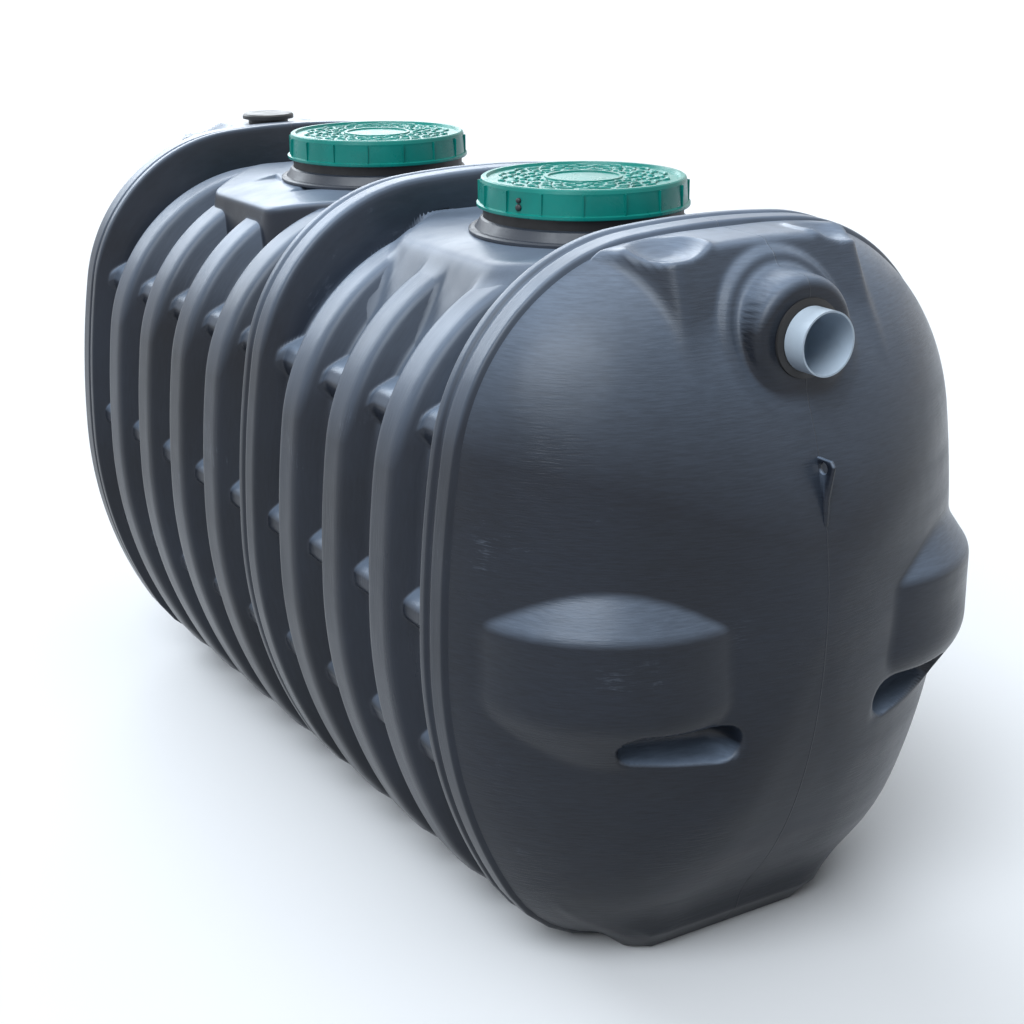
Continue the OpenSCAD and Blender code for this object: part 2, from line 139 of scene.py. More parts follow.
def objectNoise(tree, scale, stretch=(1, 1, 1), detail=4.0, roughness=0.5):
    # noise on Object coordinates, drawn out along an axis where its stretch is small
    place = tree.nodes.new("ShaderNodeTexCoord")
    mapping = tree.nodes.new("ShaderNodeMapping")
    mapping.inputs["Scale"].default_value = stretch
    noise = tree.nodes.new("ShaderNodeTexNoise")
    noise.inputs["Scale"].default_value = scale
    noise.inputs["Detail"].default_value = detail
    noise.inputs["Roughness"].default_value = roughness
    tree.links.new(place.outputs["Object"], mapping.inputs[0])
    tree.links.new(mapping.outputs[0], noise.inputs["Vector"])
    return noise.outputs["Fac"]


def ramp(tree, value, stops):
    # colours at places along a value, blended from one to the next
    node = tree.nodes.new("ShaderNodeValToRGB")
    for element, (at, colour) in zip(node.color_ramp.elements, (stops[0], stops[-1])):
        element.position, element.color = at, colour
    for at, colour in stops[1:-1]:
        node.color_ramp.elements.new(at).color = colour
    tree.links.new(value, node.inputs[0])
    return node.outputs["Color"]


def grey(v):
    return (v, v, v, 1)


def greyRamp(tree, value, stops):
    return ramp(tree, value, [(at, grey(v)) for at, v in stops])


def mathNode(tree, kind, a, b):
    # a and b are sockets or plain numbers
    node = tree.nodes.new("ShaderNodeMath")
    node.operation = kind
    for socket, value in zip(node.inputs, (a, b)):
        if isinstance(value, (int, float)):
            socket.default_value = value
        else:
            tree.links.new(value, socket)
    return node.outputs[0]


def mixColour(tree, share, a, b):
    # a where the share is 0 and b where it is 1, each a socket or a plain colour
    node = tree.nodes.new("ShaderNodeMix")
    node.data_type = "RGBA"
    tree.links.new(share, node.inputs["Factor"])
    for socket, value in ((node.inputs[6], a), (node.inputs[7], b)):
        if isinstance(value, tuple):
            socket.default_value = value
        else:
            tree.links.new(value, socket)
    return node.outputs[2]


def bump(tree, shader, height, strength, distance):
    node = tree.nodes.new("ShaderNodeBump")
    node.inputs["Strength"].default_value = strength
    node.inputs["Distance"].default_value = distance
    tree.links.new(height, node.inputs["Height"])
    tree.links.new(node.outputs[0], shader.inputs["Normal"])


blackSettings = dict(
    dark=(0.009, 0.0115, 0.018, 1), light=(0.020, 0.026, 0.040, 1),
    # the pale bluish film on faces that look up is partly dust and partly a painted sheen of the bright
    # sky
    scuff=(0.17, 0.20, 0.25, 1), dustAndSheen=(0.210, 0.268, 0.358, 1),
    cloudScale=2.6, lineScale=300, wornScale=5, roughScale=16, patchScale=4.5, broadScale=7,
    clouding=(0.38, 0.64), brushing=0.6, shine=0.32,
    # places along a noise, or along the way a face looks, with the shares they stand for
    dustAndSheenStops=((0.15, 0), (0.45, 0.42), (0.80, 1)), patchyStops=((0.36, 0.62), (0.62, 1)),
    wornStops=((0.62, 0), (0.72, 1)), lineStops=((0.52, 0), (0.66, 0.5)),
    roughStops=((0.3, 0.27), (0.7, 0.40)), patchStops=((0.42, 0.25), (0.60, 1)),
    seam=0.0016, seamHeight=0.9, broadHeight=2.2, relief=0.0012)


def dustAndSheenFilm(tree):
    # how far a face looks upwards, as a share from 0 to 1, for a pale film that is partly dust and partly
    # a painted sheen of the sky
    face = tree.nodes.new("ShaderNodeNewGeometry")
    facing = tree.nodes.new("ShaderNodeSeparateXYZ")
    tree.links.new(face.outputs["Normal"], facing.inputs[0])
    return greyRamp(tree, facing.outputs[2], blackSettings["dustAndSheenStops"])


def seamRidge(tree, width):
    # a ridge with a peaked section along the middle plane, where the two halves of the mould met
    place = tree.nodes.new("ShaderNodeTexCoord")
    parts = tree.nodes.new("ShaderNodeSeparateXYZ")
    tree.links.new(place.outputs["Object"], parts.inputs[0])
    away = mathNode(tree, "ABSOLUTE", parts.outputs[0], 0.0)
    near = mathNode(tree, "SUBTRACT", 1.0, mathNode(tree, "DIVIDE", away, width))
    return mathNode(tree, "MAXIMUM", near, 0.0)


def makeBlackPlastic(name, stretch, streaks):
    # clouded black with drawn-out scratches, pale scuffs, a pale film on what looks up that is partly dust
    # and partly painted sky sheen, and the mould's seam
    s = blackSettings
    material, tree, shader = newMaterial(name)
    clouds = objectNoise(tree, s["cloudScale"], detail=6)
    lines = objectNoise(tree, s["lineScale"], stretch, 4, 0.6)
    lineShare = s["brushing"] * streaks
    cloudsAndLines = mathNode(tree, "ADD", mathNode(tree, "MULTIPLY", clouds, 1 - lineShare),
                              mathNode(tree, "MULTIPLY", lines, lineShare))
    colour = ramp(tree, cloudsAndLines, list(zip(s["clouding"], (s["dark"], s["light"]))))
    patchy = greyRamp(tree, cloudsAndLines, s["patchyStops"])
    # faces that look up turn paler and bluish in patches: partly dust, partly a painted sheen of the sky
    # above
    colour = mixColour(tree, mathNode(tree, "MULTIPLY", dustAndSheenFilm(tree), patchy), colour, s["dustAndSheen"])
    worn = objectNoise(tree, s["wornScale"], detail=8, roughness=0.65)
    scuffs = mathNode(tree, "MULTIPLY", greyRamp(tree, worn, s["wornStops"]),
                      greyRamp(tree, lines, s["lineStops"]))
    tree.links.new(mixColour(tree, scuffs, colour, s["scuff"]), shader.inputs["Base Color"])
    rough = objectNoise(tree, s["roughScale"], stretch, 5, 0.6)
    tree.links.new(greyRamp(tree, rough, s["roughStops"]), shader.inputs["Roughness"])
    patches = greyRamp(tree, objectNoise(tree, s["patchScale"], detail=3), s["patchStops"])
    scratches = mathNode(tree, "MULTIPLY", mathNode(tree, "MULTIPLY", lines, patches), streaks)
    seam = mathNode(tree, "MULTIPLY", seamRidge(tree, s["seam"]), s["seamHeight"])
    broad = mathNode(tree, "MULTIPLY", objectNoise(tree, s["broadScale"], detail=2), s["broadHeight"])
    height = mathNode(tree, "ADD", mathNode(tree, "ADD", scratches, seam), broad)
    bump(tree, shader, height, 1.0, s["relief"])
    shader.inputs["Specular IOR Level"].default_value = s["shine"]
    return material


plainSettings = dict(shadeScale=9, darker=0.86, lighter=1.1, roughScale=30, smoother=0.06, rougher=0.08,
                     grainScale=200, grainHeight=0.0006)


def makePlain(name, colour, roughness, grain, shine=0.5):
    # one colour, a little darker and lighter in clouds, with a fine grain
    p = plainSettings
    material, tree, shader = newMaterial(name)
    shader.inputs["Specular IOR Level"].default_value = shine
    low = tuple(c * p["darker"] for c in colour) + (1,)
    high = tuple(min(1, c * p["lighter"]) for c in colour) + (1,)
    shade = objectNoise(tree, p["shadeScale"], detail=5)
    tree.links.new(ramp(tree, shade, [(0.35, low), (0.65, high)]), shader.inputs["Base Color"])
    rough = objectNoise(tree, p["roughScale"], detail=4)
    stops = ((0.3, roughness - p["smoother"]), (0.7, roughness + p["rougher"]))
    tree.links.new(greyRamp(tree, rough, stops), shader.inputs["Roughness"])
    bump(tree, shader, objectNoise(tree, p["grainScale"], detail=3), grain, p["grainHeight"])
    return material


# how far the noise is drawn out along each axis, and how strong the lines are
hoopPlastic = makeBlackPlastic("blackPolyethyleneRibs", (0.08, 1.0, 0.08), 0.35)
domePlastic = makeBlackPlastic("blackPolyethyleneEnds", (0.10, 0.10, 1.0), 0.75)
tablePlastic = makeBlackPlastic("blackPolyethyleneTables", (0.6, 1.0, 0.6), 0.15)
neckPlastic = makePlain("neckPolyethylene", (0.030, 0.038, 0.054), 0.38, 0.3)
greenPlastic = makePlain("greenPolypropylene", (0.003, 0.270, 0.225), 0.30, 0.3, shine=0.35)
greyPipe = makePlain("greyPipe", (0.60, 0.70, 0.80), 0.34, 0.1, shine=0.35)
blackRubber = makePlain("blackRubber", (0.010, 0.010, 0.011), 0.55, 0.3)
capPlastic = makePlain("capPlastic", (0.020, 0.022, 0.026), 0.42, 0.3)
print("materials made")


def shoulderArc(top):
    # centre of the shoulder, and the angles at which it meets the side and the crown
    b = barrel
    sideX, crownZ = b["halfWidth"] - b["sideRadius"], top - b["crownRadius"]
    a, c = b["sideRadius"] - b["shoulderRadius"], b["crownRadius"] - b["shoulderRadius"]
    length = np.hypot(sideX, crownZ)
    along = (a * a - c * c + length ** 2) / (2 * length)
    up = np.sqrt(a * a - along ** 2)
    ex, ez = -sideX / length, crownZ / length
    x, z = sideX + along * ex - up * ez, along * ez + up * ex
    return x, z, np.arctan2(z, x - sideX), np.arctan2(z - crownZ, x), sideX, crownZ


def ovalOutline(top, counts, dense=((0, 0, 0),) * 5):
    # Arcs of the oval from the middle of the base, up the right side and back down the left, with
    # closer points over part of each arc where that is asked for. A point on it is the arc's centre
    # plus (radius - inset) times its direction. top is an array with one crown height per row.
    b, top = barrel, np.asarray(top, dtype=float)[:, None]
    down = b["widest"] - b["keelRadius"]
    across = math.sqrt((b["keelSideRadius"] - b["keelRadius"]) ** 2 - down ** 2)
    tilt = math.atan2(down, across)
    lowX = b["halfWidth"] - b["keelSideRadius"]
    keelX = lowX + across
    shoulderX, shoulderZ, first, second, sideX, crownZ = shoulderArc(top)
    zero = np.zeros_like(top)
    arcs = [(keelX, -down, b["keelRadius"], zero - math.pi / 2, zero - tilt),
            (lowX, 0, b["keelSideRadius"], zero - tilt, zero),
            (sideX, 0, b["sideRadius"], zero, first),
            (shoulderX, shoulderZ, b["shoulderRadius"], first, second),
            (0, crownZ, b["crownRadius"], second, zero + math.pi / 2)]
    flat = np.arange(b["baseCount"]) / b["baseCount"] * keelX + zero
    columns = [(flat, flat * 0 - b["widest"], flat * 0, flat * 0 - math.pi / 2)]
    for (cx, cz, radius, start, end), n, (low, high, more) in zip(arcs, counts, dense):
        shares = np.arange(n) / n
        if more:
            apart = shares[(shares < low) | (shares > high)]
            shares = np.sort(np.concatenate([apart, np.linspace(low, high, more)]))
            shares = shares[np.concatenate([[True], np.diff(shares) > 1e-4])]
        angle = start + (end - start) * shares
        columns.append((cx + angle * 0, cz + angle * 0, radius + angle * 0, angle))
    crown = (zero, crownZ, zero + b["crownRadius"], zero + math.pi / 2)
    half = [np.concatenate(parts, 1) for parts in zip(*columns)]
    cx, cz, radius, angle = half
    mirrored = (-cx[:, :0:-1], cz[:, :0:-1], radius[:, :0:-1], math.pi - angle[:, :0:-1])
    return [np.concatenate(parts, 1) for parts in zip(half, crown, mirrored)]


def ovalPoints(outline, inset):
    # width and height of every point of the outline, moved inwards by the inset
    cx, cz, radius, angle = outline
    return cx + (radius - inset) * np.cos(angle), cz + (radius - inset) * np.sin(angle)


def runLength(points):
    # distance along a line of points from its first one
    steps = np.hypot(np.diff(points[:, 0]), np.diff(points[:, 1])) + 1e-6
    return np.concatenate([[0], np.cumsum(steps)])


def roundedProfile(corners, spread, count):
    # straight lines between the corners, softened by a running average and cut into even steps
    step = 0.5  # between the points that are averaged
    corners = np.array(corners, dtype=float)
    run = runLength(corners)
    fine = np.arange(0, run[-1], step)
    lines = np.stack([np.interp(fine, run, corners[:, i]) for i in range(corners.shape[1])], 1)
    reach = int(3 * spread / step)
    weights = np.exp(-0.5 * (np.arange(-reach, reach + 1) / (spread / step)) ** 2)
    weights /= weights.sum()
    before = 2 * lines[:1] - lines[reach:0:-1]
    after = 2 * lines[-1:] - lines[-2:-reach - 2:-1]
    padded = np.concatenate([before, lines, after])
    soft = np.stack([np.convolve(column, weights, "valid") for column in padded.T], 1)
    soft[0], soft[-1] = corners[0], corners[-1]
    run = runLength(soft)
    even = np.linspace(0, run[-1], count)
    return np.stack([np.interp(even, run, soft[:, i]) for i in range(soft.shape[1])], 1)


def hoopProfile(kind):
    # [along, inset, crown height] across a hoop from -Y to +Y: valley, slope, crest, slope, valley.
    # An end ring starts at its outer face instead.
    b, style = barrel, "end" if kind in ("front", "rear") else kind
    half, foot, edge = b["pitch"] / 2, b["crest"] / 2 + b["ribRun"], b["crest"] / 2
    depth, low = b["ribDepth"], b["ribTop"]
    high = low if style == "rib" else b["ringTop"]
    before = [] if style == "end" else [[-half, depth, low], [-foot, depth, low]]
    crest = [[along - edge, inset, high] for along, inset in b["crests"][style]]
    after = [[foot, depth, low], [half, depth, low]]
    rows = roundedProfile(before + crest + after, *b["softRows"][style])
    return rows[::-1] * [-1, 1, 1] if kind == "rear" else rows


def webCover(z):
    # height of the webs over the valley's floor: a ramp on top, a lip, and a face that fades below
    b, cover = barrel, np.zeros_like(z)
    for level in b["webLevels"]:
        h = z - level
        face = b["webOut"] + (h + b["webHalf"] - b["webLip"]) * b["webFall"]
        ridge = np.minimum(b["webHalf"] + b["webRamp"] - h, face)
        ridge = smoothMin(np.clip(ridge, b["webFloor"], b["webSpan"]), b["webOut"], b["webSoft"])
        cover = np.maximum(cover, np.where(np.abs(h) < b["webSpan"], ridge, 0))
    return cover


hoopNodes = [("front_ring", "front"), ("rib_1", "rib"), ("rib_2", "rib"), ("rib_3", "rib"),
             ("middle_ring", "middle"), ("rib_4", "rib"), ("rib_5", "rib"), ("rib_6", "rib"),
             ("rib_7", "rib"), ("rear_ring", "rear")]
profiles = [hoopProfile(kind) for node, kind in hoopNodes]
ridgeLine = np.concatenate([rows + [hoopCentre(i), 0, 0] for i, rows in enumerate(profiles)])


def hoopHeight(x, y):
    # height of the hoops' skin over a point in plan, within the crown and the shoulders
    b = barrel
    inset, top = [np.interp(y, ridgeLine[:, 0], ridgeLine[:, i]) for i in (1, 2)]
    shoulderX, shoulderZ, _, end, _, crownZ = shoulderArc(top)
    crown = crownZ + np.sqrt((b["crownRadius"] - inset) ** 2 - x * x)
    drop = (b["shoulderRadius"] - inset) ** 2 - (np.abs(x) - shoulderX) ** 2
    shoulder = shoulderZ + np.sqrt(np.maximum(drop, 0))
    return np.where(np.abs(x) < (b["crownRadius"] - inset) * np.cos(end), crown, shoulder), top


tables = dict(
    top=632.0, neck=184.0, plateRows=34, wallRows=72, wallDepth=200.0, cornerPoints=12, sideStep=5.0,
    # inside the edge the plate covers the ribs but not the tall rings; its wall sinks in at the foot
    ringRise=5.0, sunkUnder=24.0, sunkBlend=5.0, skinGap=0.6, footSink=13.0, footLevels=(120.0, 190.0),
    # the plate falls outwards from droopFrom, by its own droop once it is droopRun further out
    droopFrom=170.0, droopRun=174.0, wedgeDepth=9.0, wedgeSides=9.0, wedgeEnd=14.0,
    # the hoops' faces under a table are left out from this far inside its edge and above this level
    holeInside=-7.0, holeFloor=400.0,
    front=dict(centre=-481.75, width=304.0, length=354.0, corner=105.0, lean=0.75, soft=13.0,
               blend=24.0, droop=20.0, cap=3.0, holeTop=2.0, wedges=()),
    rear=dict(centre=364.0, width=344.0, length=352.0, corner=62.0, lean=0.15, soft=6.0,
              blend=9.0, droop=24.0, cap=9.0, holeTop=8.0,
              wedges=(((-268, 486), (-206, 430), (-176, 532)),
                      ((-262, 300), (-168, 250), (-200, 334)))))


def cornerCut(width):
    # what an octagon's slanted sides take off its corners, measured along a straight side
    return (2 - math.sqrt(2)) * width


def tableDistance(t, x, y):
    # plan distance outwards from the edge of the octagon round a manhole
    w, l = t["width"], t["length"]
    x, y = np.abs(x), np.abs(y - t["centre"])
    return np.maximum(np.maximum(x - w, y - l), (x + y - (w + l - cornerCut(w))) / math.sqrt(2))


def wedgeDip(x, y, thin, low, high):
    # a triangular ramp that deepens from its thin end to the far side, with steep edges
    s = tables
    thin, low, high = [np.array(p, dtype=float) for p in (thin, low, high)]
    a, b = low - thin, high - thin
    area = a[0] * b[1] - a[1] * b[0]
    px, py = x - thin[0], y - thin[1]
    toHigh, toLow = (a[0] * py - a[1] * px) / area, (px * b[1] - py * b[0]) / area
    sides = np.minimum(toHigh, toLow) * s["wedgeSides"]
    inside = np.minimum(sides, (1 - toHigh - toLow) * s["wedgeEnd"])
    return s["wedgeDepth"] * np.clip(toHigh + toLow, 0, 1) * smoothStep(0, 1, inside)


def tableRim(t):
    # The middles of an octagon's rounded corners and the directions out from them, point by point:
    # a turn of an eighth at each corner, then even steps along the side to the next one.
    w, l = t["width"] - t["corner"], t["length"] - t["corner"]
    cut = cornerCut(w)
    corners = [(w, l - cut), (w - cut, l), (cut - w, l), (-w, l - cut),
               (-w, cut - l), (cut - w, -l), (w - cut, -l), (w, cut - l)]
    base, way = [], []
    for i, (x, y) in enumerate(corners):
        start = i * math.pi / 4
        end = start + math.pi / 4
        for angle in np.linspace(start, end, tables["cornerPoints"]):
            base.append((x, y))
            way.append((math.cos(angle), math.sin(angle)))
        nextX, nextY = corners[(i + 1) % 8]
        count = int(math.hypot(nextX - x, nextY - y) / tables["sideStep"])
        for s in np.arange(1, count) / count:
            base.append((x + (nextX - x) * s, y + (nextY - y) * s))
            way.append((math.cos(end), math.sin(end)))
    return np.array(base), np.array(way)


def makeTable(name, node):
    # Rows of a rounded octagon from the neck to the edge and down the wall, where the plate's height
    # gives way to the hoops' own a little under their skin.
    s, t = tables, tables[name]
    depth, rows = s["wallDepth"], s["plateRows"]
    wall = [[-t["corner"], 0], [0, 0], [t["lean"] * depth, depth]]
    profile = roundedProfile(wall, t["soft"], s["wallRows"])
    base, way = tableRim(t)
    plan = base[None] + way[None] * (profile[:, None, :1] + t["corner"])
    rim = plan[0]
    circle = rim / np.linalg.norm(rim, axis=-1, keepdims=True) * s["neck"]
    shares = np.linspace(0, 1, rows, endpoint=False)[:, None, None]
    plan = np.concatenate([circle[None] + (rim - circle)[None] * shares, plan])
    offset = np.concatenate([np.full(rows, -t["corner"]), profile[:, 0]])[:, None]
    fall = np.concatenate([np.zeros(rows), profile[:, 1]])[:, None]
    x, y = plan[..., 0], plan[..., 1] + t["centre"]
    skin, top = hoopHeight(x, y)
    sunk = np.where(top > barrel["ribTop"] + s["ringRise"], skin,
                    np.minimum(skin, s["top"] - s["sunkUnder"]))
    inside = smoothStep(s["sunkBlend"], -s["sunkBlend"], offset)
    skin = skin * (1 - inside) + sunk * inside
    droop = t["droop"] * (np.maximum(np.abs(x) - s["droopFrom"], 0) / s["droopRun"]) ** 2
    plate = s["top"] - fall - droop
    for wedge in t["wedges"]:
        plate = plate - wedgeDip(x, y, *wedge)
    foot = s["footSink"] * smoothStep(*s["footLevels"], fall)
    z = np.minimum(smoothMax(skin - s["skinGap"], plate, t["blend"]) - foot, s["top"] + t["cap"])
    points = np.stack([x, y, z + barrel["widest"]], -1)
    quads = gridFaces(*points.shape[:2], flip=True)
    piece = meshPiece(name + "TableSkin", points, quads, tablePlastic)
    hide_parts(node)


makeTable("front", "front_table")
makeTable("rear", "rear_table")
print("tables made")


def innerProfile(kind):
    # [along, inset, crown height] along a hoop's inner skin, from +Y back to -Y
    b = barrel
    face = b["crest"] / 2
    half, foot, edge = b["pitch"] / 2, face + b["ribRun"] - b["innerEase"], face - b["wall"]
    deep, shallow, low = b["ribDepth"] + b["wall"], 2 * b["wall"], b["ribTop"]
    high = low if kind == "rib" else b["ringTop"]
    right = [[half, deep, low], [foot, deep, low], [edge, shallow, high]]
    left = [[-edge, shallow, high], [-foot, deep, low], [-half, deep, low]]
    if kind in ("front", "rear"):
        left = [[-face, b["endInset"], high]]
    rows = np.array(right + left)
    return rows[::-1] * [-1, 1, 1] if kind == "rear" else rows


def underTables(middles):
    # which faces, by their middles, lie under a table
    x, y, z = middles.T
    hidden = np.zeros(len(middles), dtype=bool)
    for t in (tables["front"], tables["rear"]):
        low = barrel["widest"] + tables["holeFloor"]
        high = barrel["widest"] + tables["top"] + t["holeTop"]
        hidden |= (tableDistance(t, x, y) < tables["holeInside"]) & (z > low) & (z < high)
    return hidden


def makeHoop(index, kind, node):
    # The profile carried round the oval, with the webs filling its valleys, then back along the inner
    # skin. The crest keeps its own height, and what lies under the tables is left out.
    b, profile, inner = barrel, profiles[index], innerProfile(kind)
    outline = ovalOutline(profile[:, 2], b["counts"], b["dense"])
    plain = profile[:, 1:2] + outline[0] * 0
    levels = ovalPoints(outline, plain)[1]
    webbed = smoothMin(plain, b["ribDepth"] - webCover(levels) + b["webGap"], b["webJoin"])
    x, z = ovalPoints(outline, np.where(profile[:, 1:2] < b["webCrest"], plain, webbed))
    y = hoopCentre(index) + profile[:, :1] + x * 0
    outer = np.stack([x, y, z + b["widest"]], -1)
    x, z = ovalPoints(ovalOutline(inner[:, 2], b["counts"], b["dense"]), inner[:, 1:2])
    y = hoopCentre(index) + inner[:, :1] + x * 0
    inner = np.stack([x, y, z + b["widest"]], -1)
    points = np.concatenate([outer, outer[-1:], inner, outer[:1]])
    rows, columns = points.shape[:2]
    points = points.reshape(-1, 3)
    quads = np.concatenate([gridFaces(len(outer), columns),
                            gridFaces(rows - len(outer), columns) + len(outer) * columns])
    quads = quads[~underTables(points[quads].mean(1))]
    piece = meshPiece(node + "Shell", points, quads, hoopPlastic)
    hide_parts(node)


for index, (node, kind) in enumerate(hoopNodes):
    makeHoop(index, kind, node)
print("barrel made")

dome = dict(
    length=327.0, noseRise=82.0, power=1.83, keelPower=2.15, step=13.0, start=0.19,
    blockDrop=11.0, blockWidth=252.0, blockFront=126.0, blockSlant=0.396,
    blockLow=474.0, blockLowRise=0.524, blockLowAt=208.0, blockLowScale=1.13,
    facetWay=(0.849, 0.467, 0.247), facetY=-17.0, facetZ=690.0,
    dishAt=170.0, dishY=-84.0, dishSize=(66.0, 84.0, 46.0), dishDepth=22.0,
    dishRim=5.0, rimSize=(58.0, 74.0), rimAt=1.1, rimWidth=0.14, rimFade=(-8.0, -50.0),
    bossReach=244.0, bossRadius=103.0, bossTaper=0.03,
    collarRadius=133.0, collarProud=14.0, collarLow=414.0,
    lugAt=227.0, lugY=-2.0, lugRadius=300.0, lugTop=90.0, lugLow=-58.0, lugTopFall=1.48, lugLowFall=1.64,
    lugInner=150.0,
    pocketFrom=(182.0, -286.0, -122.0), pocketTo=(322.0, -246.0, -117.0), pocketSize=(36.0, 64.0, 33.0),
    footLevels=(0.0, 50.0, 130.0), footWidths=(210.0, 256.0, 350.0), footReaches=(72.0, 112.0, 136.0),
    footCutX=(26.0, 60.0, 152.0), footCutY=(26.0, 52.0, 78.0), footTop=134.0, footScale=0.75,
    # how far each edge, and each joint with the rest, is rounded over
    soft=dict(block=14, blockLow=24, blockJoin=11, dish=7, collar=14, collarLow=20, collarJoin=12,
              boss=26, bossJoin=14, lugTop=7, lugLow=14, lugInner=30, lugJoin=5, foot=18, footTop=14,
              footJoin=16, pocket=9, base=1.0),
    # points move straight out near the boss, and level between these heights
    straightNear=(115.0, 210.0), levelFrom=(-330.0, -230.0), levelTo=(260.0, 150.0), behind=150.0,
    search=(-70.0, 150.0, 4.0), halvings=9, rowPower=0.94,
    # the pipe's opening through the boss
    holeRadius=60.0, holeFrom=150.0)
blockLevel = barrel["ringTop"] - dome["blockDrop"]


def ovalShare(t, power):
    # how wide an oval curve still is at the share t of its length
    return (1 - t ** power) ** (1 / power)


def domeBase(outline, t):
    # The section shrinks along an oval curve towards the nose, which lies higher than the widest level.
    d = dome
    x, z = ovalPoints(outline, d["step"])
    fall = (t - d["start"]) / (1 - d["start"])
    above, below = [ovalShare(t, d[key]) / ovalShare(d["start"], d[key]) for key in ("power", "keelPower")]
    fall, above, below = fall[:, None], above[:, None], below[:, None]
    height = z * np.where(z > 0, above, below) + d["noseRise"] * fall
    return np.stack([x * above, -fall * d["length"] + 0 * x, height], -1)


def bowlShare(x, y, z, size):
    # length of a step from a bowl's middle in shares of its half axes, so 1 on the bowl's skin
    return np.sqrt((x / size[0]) ** 2 + (y / size[1]) ** 2 + (z / size[2]) ** 2)


def blockDistance(side, y, z, front):
    # a block under a crowned top, with a slanted front, cut corners and a finger dish on each side
    d, soft = dome, dome["soft"]
    top = z - (blockLevel - side * side / (2 * barrel["crownRadius"]))
    ring = np.hypot((side - d["dishAt"]) / d["rimSize"][0], (y - d["dishY"]) / d["rimSize"][1])
    rim = d["dishRim"] * np.exp(-((ring - d["rimAt"]) / d["rimWidth"]) ** 2)
    raised = top - rim * smoothStep(*d["rimFade"], y)
    wayX, wayY, wayZ = d["facetWay"]
    facet = wayX * (side - d["blockWidth"]) - wayY * (y - d["facetY"]) + wayZ * (z - d["facetZ"])
    block = smoothMax(smoothMax(raised, front, soft["block"]), facet, soft["block"])
    under = d["blockLow"] + d["blockLowRise"] * (y + d["blockLowAt"]) - z
    block = smoothMax(block, under / d["blockLowScale"], soft["blockLow"])
    deep = d["dishSize"][2]
    dish = bowlShare(side - d["dishAt"], y - d["dishY"], top - deep + d["dishDepth"], d["dishSize"])
    return smoothMax(block, (1 - dish) * deep, soft["dish"])


def lugDistance(side, y, z):
    # a crescent that stands out at half height, between two cones that meet its rim
    d, soft = dome, dome["soft"]
    plan = np.hypot(side - d["lugAt"], y - d["lugY"])
    inwards = d["lugRadius"] - plan
    top = (z - d["lugTop"] - inwards * d["lugTopFall"]) / math.hypot(1, d["lugTopFall"])
    low = (d["lugLow"] - z - inwards * d["lugLowFall"]) / math.hypot(1, d["lugLowFall"])
    lug = smoothMax(smoothMax(plan - d["lugRadius"], top, soft["lugTop"]), low, soft["lugLow"])
    return smoothMax(lug, d["lugInner"] - side, soft["lugInner"])


def footDistance(side, y, z):
    # a foot whose width, reach and cut corners grow with the height
    d, soft = dome, dome["soft"]
    h = z + barrel["widest"]
    w, reach, cutX, cutY = [np.interp(h, d["footLevels"], d[key])
                            for key in ("footWidths", "footReaches", "footCutX", "footCutY")]
    corner = (cutY * (side - w) + cutX * (-y - (reach - cutY))) / np.hypot(cutX, cutY)
    foot = smoothMax(smoothMax(side - w, -y - reach, soft["foot"]), corner, soft["foot"]) * d["footScale"]
    return smoothMax(foot, h - d["footTop"], soft["footTop"])


def pocketDistance(side, y, z):
    # a bowl drawn out along a line, which hollows the lug from below
    d = dome
    (x0, y0, z0), (x1, y1, z1) = d["pocketFrom"], d["pocketTo"]
    s = np.clip((side - x0) / (x1 - x0), 0, 1)
    pocket = bowlShare(side - x0 - (x1 - x0) * s, y - y0 - (y1 - y0) * s, z - z0 - (z1 - z0) * s,
                       d["pocketSize"])
    return (1 - pocket) * d["pocketSize"][2]


def domeFeatures(x, y, z, bossHeight, baseDistance):
    # signed distance to the end, negative inside: rounded unions of planes, cylinders and bowls
    d, soft, side = dome, dome["soft"], np.abs(x)
    front = -y - d["blockFront"] - d["blockSlant"] * (blockLevel - z)
    front = front / math.hypot(1, d["blockSlant"])
    body = smoothMin(baseDistance, blockDistance(side, y, z, front), soft["blockJoin"])
    axis = np.hypot(x, z - bossHeight)
    collar = smoothMax(axis - d["collarRadius"], front - d["collarProud"], soft["collar"])
    collar = smoothMax(collar, d["collarLow"] - z, soft["collarLow"])
    body = smoothMin(body, collar, soft["collarJoin"])
    outwards = y + d["bossReach"]
    boss = smoothMax(axis - d["bossRadius"] - d["bossTaper"] * outwards, -outwards, soft["boss"])
    body = smoothMin(body, boss, soft["bossJoin"])
    body = smoothMin(body, lugDistance(side, y, z), soft["lugJoin"])
    body = smoothMin(body, footDistance(side, y, z), soft["footJoin"])
    body = smoothMax(body, pocketDistance(side, y, z), soft["pocket"])
    return smoothMax(body, -(z + barrel["widest"]), soft["base"])


def domeWays(base, bossHeight):
    # Directions in which the plain dome's points move: along the normal, turned level or straight out.
    # With them, how much of each direction is along the normal.
    d = dome
    nose = np.array([[[0, -d["length"], d["noseRise"]]]])
    extended = np.concatenate([base, nose + 0 * base[:1]], 0)
    alongRow = np.roll(base, -1, 1) - np.roll(base, 1, 1)
    downRow = np.gradient(extended, axis=0)[:-1]
    normal = np.cross(alongRow, downRow)
    normal /= np.linalg.norm(normal, axis=-1, keepdims=True) + 1e-12
    normal *= np.sign((normal * (base - [0, d["behind"], 0])).sum(-1, keepdims=True))
    axis = np.hypot(base[..., 0], base[..., 2] - bossHeight)
    straight = (1 - smoothStep(*d["straightNear"], axis))[..., None]
    way = normal * (1 - straight) + np.array([0, -1, 0]) * straight
    height = base[..., 2]
    way[..., 2] *= 1 - smoothStep(*d["levelFrom"], height) * smoothStep(*d["levelTo"], height)
    way /= np.linalg.norm(way, axis=-1, keepdims=True)
    return way, (way * normal).sum(-1)


